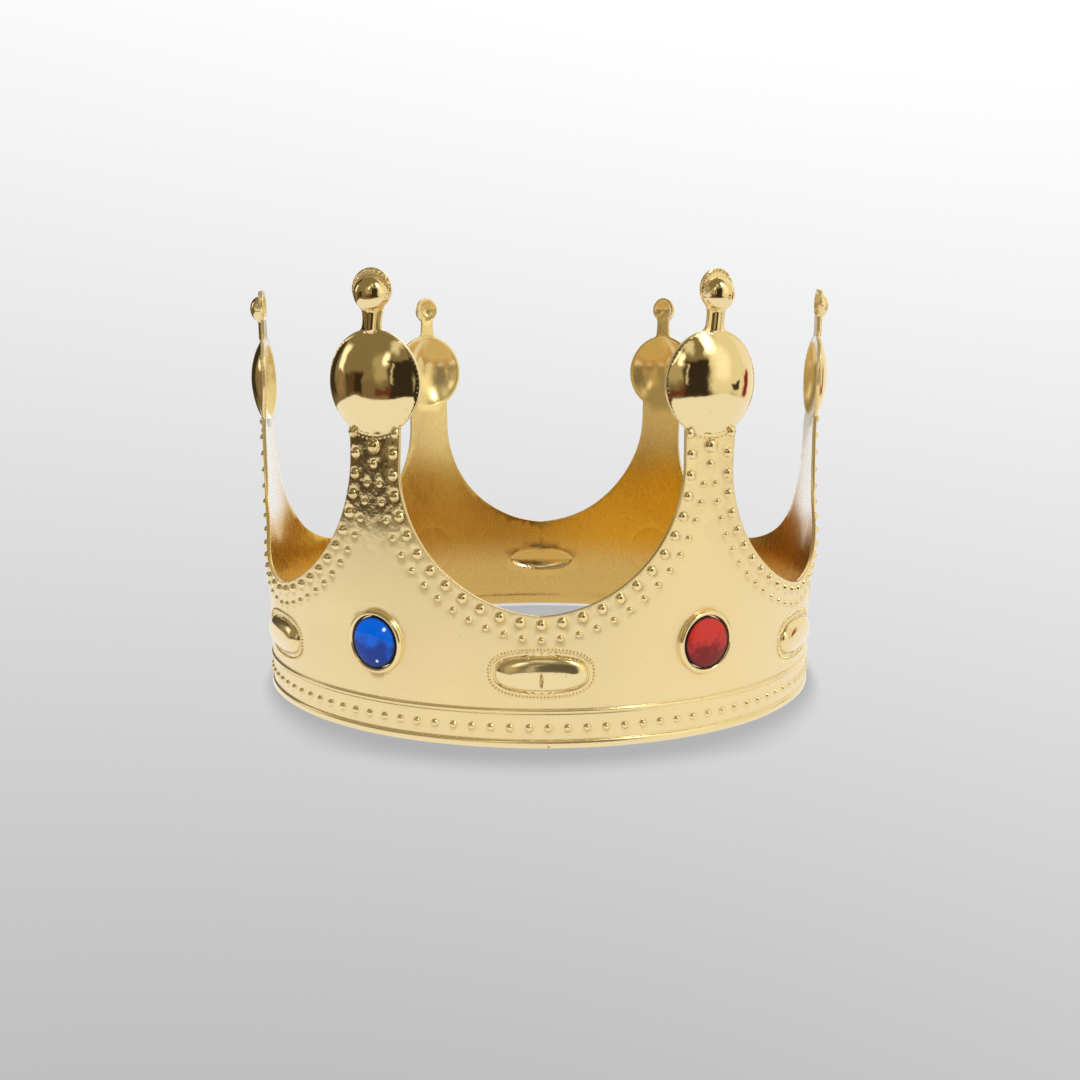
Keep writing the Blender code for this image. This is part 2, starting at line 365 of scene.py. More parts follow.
def bead(skin, p, z, radius, height, count):
    """A polished bead in a fine groove."""
    skin.beads.append((p, z, height, 0.85))
    for turn in (22.0, 45.0, 67.0) if count > 10 else (30.0, 60.0):
        share = math.sin(math.radians(turn))
        skin.bead_ring(p, z, radius * share, count, height * math.cos(math.radians(turn)), 0.85)
    dip = 0.06 * radius
    skin.bead_ring(p, z, radius, count, -0.3 * dip, 0.7)
    skin.bead_ring(p, z, radius * 1.07, count, -dip, 0.4)
    skin.bead_ring(p, z, radius * 1.2, count, 0.0, 0.1)
    skin.round_zone(skin.bead_zones, p, z, radius * 1.2)


def grain(skin, p, z, radius, height):
    """One tiny bead of a border."""
    skin.beads.append((p, z, height, 0.7))
    skin.bead_ring(p, z, radius * 0.62, 8, height * 0.72, 0.7)
    skin.bead_ring(p, z, radius, 8, 0.0, 0.2)


def tick(skin, p, z, turn):
    """One short raised mark of the lozenge's border, its length along `turn`."""
    skin.beads.append((p, z, TICK_HEIGHT, 1.0))
    for share, height in ((0.6, 0.75), (1.0, 0.0)):
        for i in range(8):
            around = 2 * math.pi * i / 8
            long = share * TICK_HALF_LENGTH * math.cos(around)
            wide = share * TICK_HALF_WIDTH * math.sin(around)
            dp = long * math.cos(turn) - wide * math.sin(turn)
            dz = long * math.sin(turn) + wide * math.cos(turn)
            skin.beads.append((p + dp, z + dz, TICK_HEIGHT * height, 1.0 if height else 0.3))


def lozenge_ring(offset, count):
    """The lozenge's outline grown by `offset`, about its centre, starting at its top."""
    power = 2.0 / LOZENGE_SQUARENESS
    length = LOZENGE_STRAIGHT + LOZENGE_HALF_HEIGHT + offset
    height = LOZENGE_HALF_HEIGHT + offset
    ring = []
    for i in range(count):
        turn = math.pi / 2 - 2 * math.pi * i / count
        across, up = math.cos(turn), math.sin(turn)
        ring.append((math.copysign(abs(across) ** power, across) * length,
                     math.copysign(abs(up) ** power, up) * height))
    return ring


def lozenge_profile():
    """(offset from the body's outline, height, polish), from the ridge outwards."""
    rows = []
    for i in range(1, 12):
        turn = math.pi / 2 * i / 11
        offset = -LOZENGE_HALF_HEIGHT * (1.0 - math.sin(turn))
        rows.append((offset, LOZENGE_BULGE * math.cos(turn), 0.8))
    return rows + [(0.1, -0.2, 0.9), (0.28, -0.2, 0.8), (0.42, 0.0, 0.6), (0.65, 0.1, 0.5),
                   (0.95, 0.05, 0.4), (1.1, 0.0, 0.2)]


def add_lozenge(skin, p):
    """A polished body in a groove, with a fine lip and a border of ticks."""
    for i in range(-8, 9):
        t = sideways(LOZENGE_STRAIGHT * i / 8, LOZENGE_Z)
        skin.beads.append((p + t, LOZENGE_Z, LOZENGE_BULGE, 0.8))
    for offset, height, polish in lozenge_profile():
        for t, z in lozenge_ring(offset, 64):
            skin.beads.append((p + sideways(t, LOZENGE_Z), LOZENGE_Z + z, height, polish))
    border = along(lozenge_ring(BORDER_OFFSET, 240)[:121], BORDER_PITCH)
    lean = np.gradient(border, axis=0)
    lean = np.arctan2(-lean[:, 0], lean[:, 1]) + math.pi
    lean[0], lean[-1] = math.pi / 2, -math.pi / 2
    for (t, z), turn in zip(border, lean):
        tick(skin, p + sideways(t, LOZENGE_Z), LOZENGE_Z + z, turn)
    for (t, z), turn in zip(border[1:-1], lean[1:-1]):
        tick(skin, p - sideways(t, LOZENGE_Z), LOZENGE_Z + z, math.pi - turn)

    def distance(at_p, at_z):
        half_height = LOZENGE_HALF_HEIGHT + BORDER_OFFSET + BORDER_MARGIN
        half_length = LOZENGE_STRAIGHT + half_height
        reach = (np.abs(at_p - p) / half_length) ** LOZENGE_SQUARENESS
        reach = reach + (np.abs(at_z - LOZENGE_Z) / half_height) ** LOZENGE_SQUARENESS
        return (reach ** (1.0 / LOZENGE_SQUARENESS) - 1.0) * half_height

    skin.bead_zones.append(distance)


def add_band_beads(skin):
    for i in range(18):
        bead(skin, SECTOR_EDGE * ((i + 0.5) / 9 - 1.0) + BAND_BEAD_SHIFT, BAND_BEAD_Z, 1.02, 0.75, 10)


def add_pair(skin, p, z, radius, height, count):
    bead(skin, p, z, radius, height, count)
    bead(skin, -p, z, radius, height, count)


def add_valley_beads(skin):
    """Two rows that follow the valley's edge and the neck."""
    edge = valley_edge()
    outer = inset(edge, 2.3)
    outer = [tuple(x) for x in outer[outer[:, 1] < 66.5]]
    outer += [(NECK_HALF - 1.75, 72.8), (NECK_HALF - 1.95, 78.4), (NECK_HALF - 1.25, 83.9)]
    for p, z in along(outer, 5.6):
        add_pair(skin, p, z, 1.38, 1.0, 14)
    inner = inset(edge, 6.5)
    inner = [tuple(x) for x in inner[inner[:, 1] < 66.5]] + [(NECK_HALF - 5.9, 70.2)]
    for p, z in along(inner, 5.15):
        add_pair(skin, p, z, 0.9, 0.65, 10)


def add_neck_beads(skin):
    bead(skin, 0.0, 75.55, 1.15, 0.8, 12)
    bead(skin, 0.0, 80.4, 1.9, 1.45, 20)
    for i in range(-4, 4):
        turn = (i + 0.5) * 1.4 / (DOME_HALF_WIDTH + 0.55)
        up = DOME_Z - (DOME_HALF_HEIGHT + 0.55) * math.cos(turn)
        grain(skin, sideways((DOME_HALF_WIDTH + 0.55) * math.sin(turn), up), up, 0.45, 0.4)


def add_bezel(skin):
    """The gem's seat: a round wall standing on a flat floor, square to its own axis."""
    profile = [(9.25, None), (9.12, -0.12), (9.0, 0.12), (8.9, 0.6), (8.7, 0.98), (8.4, 1.25),
               (8.1, BEZEL_TOP), (7.82, 1.28), (7.6, 1.08), (7.46, 0.75), (SEAT_RADIUS, SEAT_FLOOR),
               (6.4, SEAT_FLOOR), (3.6, SEAT_FLOOR)]
    for radius, height in profile:
        for i in range(60):
            turn = math.pi / 2 + 2 * math.pi * i / 60
            t = radius * math.cos(turn)
            up = GEM_Z + radius * math.sin(turn)
            h = 0.0 if height is None else height + t * t / (2 * wall_radius(up))
            skin.beads.append((sideways(t, up), up, h, 0.85 if height else 0.0))
    skin.beads.append((0.0, GEM_Z, SEAT_FLOOR, 0.0))
    skin.round_zone(skin.bead_zones, 0.0, GEM_Z, BEZEL_RADIUS + 0.25)


def add_dome(skin, rim, rings, count):
    """Rings of points over the dome, closer together towards its rim."""
    for i in range(1, rings + 1):
        share = math.sin(math.pi / 2 * i / rings)
        skin.form_ring(0.0, DOME_Z, (DOME_HALF_WIDTH - rim) * share,
                       (DOME_HALF_HEIGHT - rim) * share, count)
    skin.forms.append((0.0, DOME_Z))
    upright = DOME_HALF_WIDTH / DOME_HALF_HEIGHT
    skin.form_zones.append(lambda p, z: np.hypot(p, (z - DOME_Z) * upright) - DOME_HALF_WIDTH)


def add_ball(skin, z, radius, rings, count):
    for i in range(1, rings + 1):
        reach = radius * math.sin(math.pi / 2 * i / rings)
        skin.form_ring(0.0, z, reach, reach, count)
    skin.forms.append((0.0, z))
    skin.round_zone(skin.form_zones, 0.0, z, TIP_RADIUS)


def add_stem(skin):
    """Columns that carry the half-round rib and its rounded foot."""
    for i in range(10):
        z = STEM_RIB_END + 0.55 * i
        for share in (-1.0, -0.92, -0.75, -0.5, -0.2, 0.2, 0.5, 0.75, 0.92, 1.0):
            skin.forms.append((share * STEM_RIB_HALF, z))

    def distance(p, z):
        return np.maximum(np.abs(p) - 2.0, np.abs(z - STEM_RIB_END - 2.1) - 3.5)

    skin.form_zones.append(distance)
    for share in (0.35, 0.65, 0.85, 1.0):
        for i in range(9):
            turn = math.pi * i / 8
            skin.forms.append((share * STEM_RIB_HALF * math.cos(turn),
                               STEM_RIB_END - share * STEM_RIB_HALF * math.sin(turn)))


def add_collar(skin):
    """Grains round the tip's disc."""
    reach = TIP_RADIUS - 0.55
    for i in range(14):
        turn = math.radians(-14.0 + 208.0 * i / 13)
        up = TIP_Z + reach * math.sin(turn)
        grain(skin, sideways(reach * math.cos(turn), up), up, 0.56, 0.5)


def outer_skin():
    skin = Skin(outer_relief, outer_polish)
    add_lozenge(skin, -SECTOR_EDGE)
    add_lozenge(skin, SECTOR_EDGE)
    add_band_beads(skin)
    add_valley_beads(skin)
    add_neck_beads(skin)
    add_bezel(skin)
    add_collar(skin)
    roll = [RIM_HEIGHT / 2 * (1.0 - math.cos(math.pi * i / 9)) for i in range(1, 10)]
    rib = [RIB_Z - RIB_HALF * math.cos(math.pi * i / 8) for i in range(9)]
    sides = [RIB_HALF + GROOVE_HALF * share for share in (0.5, 1.0, 1.5, 2.0, 3.5)]
    rib += [RIB_Z + side for side in sides] + [RIB_Z - side for side in sides]
    roll += [RIM_HEIGHT + GROOVE_HALF * share for share in (0.5, 1.0, 1.5, 2.0, 3.5)]
    skin.form_rows(roll + rib, GRID)
    skin.form_zones.append(lambda p, z: z - RIM_HEIGHT - 0.6)
    skin.form_zones.append(lambda p, z: np.abs(z - RIB_Z) - RIB_HALF - 0.6)
    add_dome(skin, DOME_RIM, 14, 68)
    add_ball(skin, BALL_Z, BALL_RADIUS, 10, 28)
    add_stem(skin)
    return skin


def inner_skin():
    skin = Skin(inner_relief, inner_polish)
    for p in (-SECTOR_EDGE, SECTOR_EDGE):
        add_hollow(skin, p)
    for radius, lift in ((8.7, 0.0), (9.0, 0.04), (9.3, 0.0)):
        skin.bead_ring(0.0, GEM_Z, radius, 48, lift, 0.0)
    skin.bead_zones.append(lambda p, z: np.abs(np.hypot(p, z - GEM_Z) - 9.0) - 0.35)
    skin.form_rows([INNER_STEP_Z + rise for rise in (-0.3, -0.12, 0.0, 0.12, 0.3)], GRID)
    skin.form_zones.append(lambda p, z: np.abs(z - INNER_STEP_Z) - 0.4)
    add_dome(skin, BOWL_RIM, 9, 44)
    add_ball(skin, CUP_Z, CUP_RADIUS, 8, 24)
    return skin


def add_hollow(skin, p):
    """The oval dent behind a lozenge, with a fine lip round it."""
    for i in range(1, 8):
        turn = math.pi / 2 * i / 7
        share = math.sin(turn)
        skin.bead_oval(p, LOZENGE_Z, HOLLOW_HALF_LENGTH * share, HOLLOW_HALF_HEIGHT * share, 44,
                       HOLLOW_DEPTH * math.cos(turn), 0.4)
    skin.beads.append((p, LOZENGE_Z, HOLLOW_DEPTH, 0.4))
    for grown, height in ((0.25, -0.16), (0.55, -0.12), (HOLLOW_LIP, 0.0)):
        skin.bead_oval(p, LOZENGE_Z, HOLLOW_HALF_LENGTH + grown, HOLLOW_HALF_HEIGHT + grown, 44,
                       height, 0.3)

    def distance(at_p, at_z):
        across = HOLLOW_HALF_HEIGHT / HOLLOW_HALF_LENGTH
        return np.hypot((at_p - p) * across, at_z - LOZENGE_Z) - HOLLOW_HALF_HEIGHT - HOLLOW_LIP

    skin.bead_zones.append(distance)


# ------------------------------------------------------------------ from points to a mesh


def plain_grid(spacing):
    """Staggered rows over the whole sector, the same on both sides of its middle."""
    points = []
    columns = round(SECTOR_EDGE / spacing)
    rise = spacing * math.sqrt(3.0) / 2
    for row in range(1, round((TIP_Z + TIP_RADIUS) / rise)):
        shift = 0.5 * (row % 2)
        for i in range(-columns, columns + 1):
            points.append(((i + shift) * SECTOR_EDGE / columns, row * rise))
    return np.array(points)


def clear_of(points, zones, clearance):
    keep = np.ones(len(points), bool)
    for zone in zones:
        keep &= zone(points[:, 0], points[:, 1]) > clearance
    return points[keep]


def inside_outline(points, outline, clearance):
    """True for points inside a closed outline and clear of its sloping and level sides."""
    start = outline
    end = np.roll(outline, -1, axis=0)
    x, y = points[:, 0][:, None], points[:, 1][:, None]
    spans = (start[:, 1] > y) != (end[:, 1] > y)
    rise = np.where(end[:, 1] == start[:, 1], 1.0, end[:, 1] - start[:, 1])
    crossing = x < start[:, 0] + (y - start[:, 1]) * (end[:, 0] - start[:, 0]) / rise
    inside = (spans & crossing).sum(axis=1) % 2 == 1
    side = end - start
    share = ((x - start[:, 0]) * side[:, 0] + (y - start[:, 1]) * side[:, 1]) / (side ** 2).sum(axis=1)
    share = np.clip(share, 0.0, 1.0)
    gap = np.hypot(x - start[:, 0] - share * side[:, 0], y - start[:, 1] - share * side[:, 1])
    return inside & (gap.min(axis=1) > clearance)


def thin_out(points, gap):
    """Drops every point that lies closer than `gap` to an earlier one."""
    kept = []
    cells = {}
    for index, (p, z) in enumerate(points[:, :2]):
        cell = (math.floor(p / gap), math.floor(z / gap))
        near = [k for i in (-1, 0, 1) for j in (-1, 0, 1)
                for k in cells.get((cell[0] + i, cell[1] + j), ())]
        if all(math.hypot(points[k, 0] - p, points[k, 1] - z) > gap for k in near):
            kept.append(index)
            cells.setdefault(cell, []).append(index)
    return points[kept]


def skin_points(skin, spacing):
    """All points of a face as rows of p, z, extra height and polish (-1: by formula)."""
    beads = np.array(skin.beads)
    forms = clear_of(np.array(skin.forms), skin.bead_zones, CLEAR_OF_BEADS)
    grid = clear_of(plain_grid(spacing), skin.bead_zones + skin.form_zones, CLEAR_OF_FORMS)
    plain = np.vstack((forms, grid))
    plain = np.column_stack((plain, np.zeros(len(plain)), np.full(len(plain), -1.0)))
    return np.vstack((beads, plain))


def sheet(skin, spacing):
    """One face of a sector: its outline loop, points, heights, polish and triangles."""
    points = skin_points(skin, spacing)
    on_side = np.abs(np.abs(points[:, 0]) - SECTOR_EDGE) < 1e-6
    low_enough = (points[:, 1] > 0.05) & (points[:, 1] < VALLEY_Z - EDGE_INSET - 0.2)
    right_side = thin_out(points[on_side & low_enough & (points[:, 0] > 0)], 0.04)
    right_side = right_side[np.argsort(right_side[:, 1])]
    edge = inset(tine_edge(), EDGE_INSET)
    loop = outline_loop(right_side, edge)
    within = inside_outline(points[~on_side, :2], loop[:, :2], 0.1)
    middle = thin_out(points[~on_side][within], 0.04)
    everything = np.vstack((loop, middle))
    corners = [Vector((p, z)) for p, z in everything[:, :2]]
    made = delaunay_2d_cdt(corners, [], [list(range(len(loop)))], 1, 1e-5)
    origin = [sources[0] for sources in made[3]]
    everything = everything[origin]
    p, z, extra, polish = everything.T
    t = p * wall_radius(z) / BASE_RADIUS
    heights = skin.relief(t, z) + extra
    polish = np.where(polish < 0.0, skin.polish(t, z), polish)
    triangles = np.array(made[2])
    return everything[:, :2], heights, polish, triangles


def outline_loop(right_side, edge):
    """The closed outline of a face: underside, right side, tine edge and back down."""
    count = round(2 * SECTOR_EDGE / GRID)
    bottom = [(-SECTOR_EDGE + 2 * SECTOR_EDGE * i / count, 0.0, 0.0, -1.0) for i in range(count + 1)]
    up = [tuple(row) for row in right_side]
    over = [(p, z, 0.0, -1.0) for p, z in edge]
    mirrored = [(-p, z, extra, polish) for p, z, extra, polish in reversed(up + over[:-1])]
    return np.array(bottom + up + over + mirrored)


def place(p, z, h):
    """Points of the tine that faces -Y."""
    reach = wall_radius(z) + h
    angle = p / BASE_RADIUS
    return np.column_stack((reach * np.sin(angle), -reach * np.cos(angle), z))


class Assembly:
    """Gathers faces and welds the rows they share."""

    def __init__(self):
        self.known = {}
        self.rows = []
        self.faces = []

    def corner(self, side, p, z, h, polish, inside):
        key = (side, round(p, 4), round(z, 4), round(h, 4))
        if key not in self.known:
            self.known[key] = len(self.rows)
            self.rows.append((p, z, h, polish, inside))
        return self.known[key]


def add_sheet(build, made, side, flip):
    points, heights, polish, triangles = made
    index = []
    for (p, z), h, shine in zip(points, heights, polish):
        index.append(build.corner(side, p, z, h, shine, float(side == "inner")))
    for a, b, c in triangles:
        build.faces.append((index[a], index[c], index[b]) if flip else (index[a], index[b], index[c]))


def edge_rows():
    """Cross-section of the cut edge from front to back: (inset, height, face it belongs to)."""
    rows = [(EDGE_INSET, 0.0, "outer"), (0.1, -0.03, "edge"), (0.03, -0.1, "edge"), (0.0, -0.22, "edge")]
    rows += [(0.0, -0.98, "edge"), (0.03, -1.1, "edge"), (0.1, -1.17, "edge")]
    return rows + [(EDGE_INSET, -WALL, "inner")]


def add_edges(build):
    """Joins the two faces along the valleys and round the tine, with rounded corners."""
    outline = tine_edge()
    chains = []
    for distance, height, side in edge_rows():
        path = inset(outline, distance) if distance else np.array(outline)
        both = np.vstack((path, path[-2::-1] * (-1.0, 1.0)))
        t = both[:, 0] * wall_radius(both[:, 1]) / BASE_RADIUS
        heights = np.full(len(both), height)
        if side == "outer":
            heights = outer_relief(t, both[:, 1])
        elif side == "inner":
            heights = inner_relief(t, both[:, 1])
        chains.append([build.corner(side, p, z, h, EDGE_POLISH, 0.5)
                       for (p, z), h in zip(both, heights)])
    add_strips(build, chains)


def add_underside(build):
    count = round(2 * SECTOR_EDGE / GRID)
    p = [-SECTOR_EDGE + 2 * SECTOR_EDGE * i / count for i in range(count + 1)]
    front = [build.corner("outer", x, 0.0, 0.0, 0.3, 0.0) for x in p]
    back = [build.corner("inner", x, 0.0, -WALL - INNER_STEP, 0.0, 1.0) for x in p]
    add_strips(build, [front, back])


def add_strips(build, chains):
    """Quads between neighbouring rows of corners."""
    for near, far in zip(chains, chains[1:]):
        for i in range(len(near) - 1):
            build.faces.append((near[i], far[i], far[i + 1], near[i + 1]))


def sector():
    """One tine with half a valley on both sides, as rows of p, z, h, polish and inside."""
    build = Assembly()
    add_sheet(build, sheet(outer_skin(), GRID), "outer", False)
    add_sheet(build, sheet(inner_skin(), INNER_GRID), "inner", True)
    add_edges(build)
    add_underside(build)
    return np.array(build.rows), build.faces


# ------------------------------------------------------------------ relaxed shape


def twisted(points, k):
    """The thin tines have relaxed: each turns a little about its own upright middle line."""
    z = points[:, 2]
    on_tip = smooth(z, *TIP_Z_RANGE)
    angle = np.radians(TWIST[k] * smooth(z, *TWIST_Z) + TIP_TWIST[k] * on_tip)
    x, y = points[:, 0], points[:, 1] + wall_radius(z)
    size = 1.0 - (1.0 - TIP_SIZE[k]) * smooth(z, *TIP_SIZE_Z)
    x = x * size
    y = np.where((y < 0.0) & (z > BULGES_FROM_Z), y * BULGE_SHARE[k], y)
    turned_x = x * np.cos(angle) - y * np.sin(angle)
    turned_y = x * np.sin(angle) + y * np.cos(angle)
    turned_x += LEAN[k] * smooth(z, *LEAN_Z) + TIP_LEAN[k] * on_tip
    turned_y -= SPLAY[k] * smooth(z, *SPLAY_Z)
    up = TIP_Z + (z - TIP_Z) * size - DROP[k] * smooth(z, *DROP_Z)
    return np.column_stack((turned_x, turned_y - wall_radius(z), up))


def squeeze(x, y, z):
    """How far each point of the ring has moved to the left."""
    base = 1.0 - smooth(z, 31.0, 43.0)
    neck = smooth(z, 46.0, 60.0) * (1.0 - smooth(z, 78.0, 92.0))
    right_side = (SQUEEZE_NEAR + SQUEEZE_FAR * smooth(y, -45.0, 0.0)) * base * smooth(x, *SIDE_X)
    left_side = SQUEEZE_FAR * smooth(y, -30.0, 0.0) * base * smooth(-x, *SIDE_X)
    necks = SQUEEZE_ABOVE * neck * smooth(np.abs(x), *SIDE_X)
    front_left = smooth(-x, 20.0, 40.0) + smooth(-x, 40.0, 60.0) * smooth(z, 28.0, 36.0)
    front_left = front_left * (1.0 - smooth(y, -35.0, -15.0)) * (1.0 - smooth(z, 66.0, 84.0))
    return right_side + necks + PUSH * front_left - left_side


def warped(points):
    """The ring has warped: not quite round, and a little off the floor at the back."""
    x, y, z = points.T
    back = smooth(y, 20.0, 70.0)
    side = smooth(np.abs(x), 48.0, 70.0) * (1.0 - smooth(y, -20.0, 10.0))
    back_lift = BACK_LIFT * (1.0 - smooth(z, 2.0, 14.0))
    back_sag = BACK_SAG * smooth(z, 6.0, 18.0) * (1.0 - smooth(z, 50.0, 75.0))
    side_lift = SIDE_LIFT * side * smooth(z, 24.0, 34.0) * (1.0 - smooth(z, 46.0, 62.0))
    lift = back * (back_lift - back_sag) + side_lift
    return np.column_stack((x - squeeze(x, y, z), y, z + lift))


def whole_ring():
    """Six turned copies of the sector, welded where they meet."""
    rows, faces = sector()
    centres = place(rows[:, 0], rows[:, 1], rows[:, 2])
    on_right = np.abs(rows[:, 0] - SECTOR_EDGE) < 1e-4
    on_left = np.abs(rows[:, 0] + SECTOR_EDGE) < 1e-4
    shared = {}
    places = []
    marks = []
    all_faces = []
    for k in range(TINES):
        angle = math.radians(30.0 + 60.0 * k)
        turn = np.array(Matrix.Rotation(angle, 3, "Z"))
        turned = twisted(centres, k) @ turn.T
        index = []
        for i in range(len(rows)):
            key = None
            if on_right[i] or on_left[i]:
                key = ((k + 1) % TINES if on_right[i] else k,) + tuple(np.round(rows[i, 1:3], 3))
            if key is None or key not in shared:
                index.append(len(places))
                places.append(turned[i])
                marks.append((rows[i, 3], rows[i, 4], rows[i, 1], k))
                if key is not None:
                    shared[key] = index[-1]
            else:
                index.append(shared[key])
        all_faces += [tuple(index[v] for v in face) for face in faces]
    return warped(np.array(places)) * MM, np.array(marks), all_faces



# ------------------------------------------------------------------ pieces


def add_layer(mesh, name, values):
    layer = mesh.attributes.new(name, "FLOAT", "POINT")
    layer.data.foreach_set("value", np.array(values, np.float32))


def add_piece(name, mesh, material, node=None):
    """Puts a piece in the scene, on the one rigid body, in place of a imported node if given."""
    mesh.materials.append(material)
    piece = bpy.data.objects.new(name, mesh)
    bpy.context.scene.collection.objects.link(piece)
    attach(piece, "root")
    if node:
        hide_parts(node)


def build_shell():
    places, marks, faces = whole_ring()
    polish, inside, z, tine = marks.T
    mesh = bpy.data.meshes.new("crown_skin")
    mesh.from_pydata(places.tolist(), [], faces)
    mesh.shade_smooth()
    mesh.set_sharp_from_angle(angle=math.radians(52.0))
    # The necks' drag crinkles, with a painted dark reflection on them: full on the outside of the front
    # left tine, a quarter on the outside of the others.
    neck = smooth(z, 46.0, 64.0) * (1.0 - smooth(z, 83.5, 85.0))
    drag_and_painted_reflection = neck * np.where(tine == FRONT_LEFT, 1.0, 0.25) * (inside < 0.25)
    dull_bowls = np.isin(tine, SIDE_TINES) & (z > BULGES_FROM_Z) & (inside > 0.5)
    add_layer(mesh, "polish", polish * np.where(dull_bowls, 0.4, 1.0))
    add_layer(mesh, "inside", inside)
    add_layer(mesh, "drag_and_painted_reflection", drag_and_painted_reflection)
    add_piece("crown_skin", mesh, gold(), "crown_shell")


# ------------------------------------------------------------------ materials


class Graph:
    """A small helper for building node trees."""

    def __init__(self, tree):
        self.tree = tree
        tree.nodes.clear()

    def add(self, kind, inputs=None, **settings):
        node = self.tree.nodes.new(kind)
        for name, value in settings.items():
            setattr(node, name, value)
        for name, value in (inputs or {}).items():
            self.feed(node.inputs[name], value)
        return node

    def feed(self, socket, value):
        if isinstance(value, bpy.types.NodeSocket):
            self.tree.links.new(value, socket)
        else:
            socket.default_value = value

    def math(self, operation, a, b=0.0, clamp=False):
        node = self.add("ShaderNodeMath", {0: a, 1: b}, operation=operation, use_clamp=clamp)
        return node.outputs[0]

    def scaled(self, value, factor, offset=0.0):
        node = self.add("ShaderNodeMath", {0: value, 1: factor, 2: offset}, operation="MULTIPLY_ADD")
        return node.outputs[0]

    def length(self, a, b):
        squares = self.math("ADD", self.math("MULTIPLY", a, a), self.math("MULTIPLY", b, b))
        return self.math("SQRT", squares)

    def mix(self, share, a, b):
        node = self.add("ShaderNodeMix", data_type="RGBA")
        self.feed(node.inputs[0], share)
        self.feed(node.inputs[6], a)
        self.feed(node.inputs[7], b)
        return node.outputs[2]

    def blend(self, share, a, b):
        node = self.add("ShaderNodeMix", data_type="FLOAT")
        self.feed(node.inputs[0], share)
        self.feed(node.inputs[2], a)
        self.feed(node.inputs[3], b)
        return node.outputs[0]

    def ramp(self, value, low, high, out_low=0.0, out_high=1.0):
        node = self.add("ShaderNodeMapRange", {0: value, 1: low, 2: high, 3: out_low, 4: out_high},
                        interpolation_type="SMOOTHSTEP")
        return node.outputs[0]

    def noise(self, vector, scale, detail=3.0, roughness=0.5):
        node = self.add("ShaderNodeTexNoise", {"Vector": vector, "Scale": scale, "Detail": detail,
                                               "Roughness": roughness})
        return node.outputs["Fac"]

    def attribute(self, name):
        return self.add("ShaderNodeAttribute", attribute_name=name).outputs["Fac"]

    def position(self):
        return self.add("ShaderNodeTexCoord").outputs["Object"]

    def stretched(self, vector, scale):
        node = self.add("ShaderNodeMapping", {"Vector": vector, "Scale": scale})
        return node.outputs[0]

    def bump(self, height, distance, strength, normal=None):
        inputs = {"Height": height, "Distance": distance, "Strength": strength}
        if normal is not None:
            inputs["Normal"] = normal
        return self.add("ShaderNodeBump", inputs).outputs[0]


def new_material(name):
    material = bpy.data.materials.new(name)
    material.use_nodes = True
    return material, Graph(material.node_tree)


def finish_material(graph, inputs):
    surface = graph.add("ShaderNodeBsdfPrincipled", inputs)
    output = graph.add("ShaderNodeOutputMaterial")
    graph.tree.links.new(surface.outputs[0], output.inputs[0])


GOLD_OUTSIDE = (0.90, 0.705, 0.35, 1.0)
GOLD_POLISHED = (0.90, 0.715, 0.375, 1.0)
# Inside colours, all painted light: a painted floor reflection low down, a painted reflection of the
# gold walls half-way up, painted light and painted shade by side, and lighter gold higher up.
GOLD_INSIDE_PAINTED_FLOOR_REFLECTION = (0.93, 0.76, 0.44, 1.0)
GOLD_INSIDE_PAINTED_INTERREFLECTION = (0.69, 0.43, 0.10, 1.0)
GOLD_INSIDE_PAINTED_LIGHT = (0.94, 0.61, 0.09, 1.0)
GOLD_INSIDE_PAINTED_SHADE = (0.68, 0.38, 0.09, 1.0)
GOLD_INSIDE_HIGH = (0.88, 0.68, 0.29, 1.0)
GOLD_INSIDE_TAN = (0.82, 0.58, 0.20, 1.0)
# Painted sheen on the inside seen at a grazing angle.
GOLD_PAINTED_SHEEN = (0.97, 0.94, 0.90, 1.0)
# Painted dark reflection on the necks' crinkles.
GOLD_PAINTED_DARK_REFLECTION = (0.50, 0.39, 0.16, 1.0)
GOLD_SPECK = (0.30, 0.21, 0.08, 1.0)
# Painted shade round the gems' side, and the painted glints' white.
GEM_PAINTED_SIDE_SHADE = (0.004, 0.004, 0.008, 1.0)
GLINT = (0.85, 0.9, 1.0, 1.0)


def inside_gold(graph, parts, painted_sheen):
    """Colour of the inside, with painted light in it: a pale painted reflection of the floor low down,
    deep amber half-way up as a painted reflection of the gold walls, painted light at the back right and
    on the left, painted shade on the right, and the painted sheen where the necks are seen at a grazing
    angle.
    """
    x, y, height = parts
    # Painted light: lighter at the back right and on the left side.
    warm = graph.math("MULTIPLY", graph.ramp(x, -0.015, 0.03), graph.ramp(y, 0.02, 0.06))
    warm = graph.math("MAXIMUM", warm, graph.ramp(x, -0.05, -0.065))
    middle = graph.mix(warm, GOLD_INSIDE_PAINTED_INTERREFLECTION, GOLD_INSIDE_PAINTED_LIGHT)
    # Painted shade: darker on the right side.
    middle = graph.mix(graph.ramp(x, 0.055, 0.07), middle, GOLD_INSIDE_PAINTED_SHADE)
    above = graph.mix(graph.ramp(x, -0.02, 0.02), GOLD_INSIDE_HIGH, GOLD_INSIDE_TAN)
    # Painted reflections by height: the floor's low down, the gold walls' half-way up.
    colour = graph.mix(graph.ramp(height, 0.016, 0.032), GOLD_INSIDE_PAINTED_FLOOR_REFLECTION, middle)
    colour = graph.mix(graph.ramp(height, 0.052, 0.070), colour, above)
    # Painted sheen over the inside's colour.
    return graph.mix(painted_sheen, colour, GOLD_PAINTED_SHEEN)


def painted_sheen_share(graph, height, inside):
    """Painted sheen: where the inside of the necks is seen so flatly that its colour is drawn pale."""
    facing = graph.add("ShaderNodeLayerWeight", {"Blend": 0.5}).outputs["Facing"]
    flat = graph.math("MULTIPLY", graph.ramp(facing, 0.5, 0.78), graph.ramp(height, 0.045, 0.055))
    return graph.math("MULTIPLY", flat, inside)


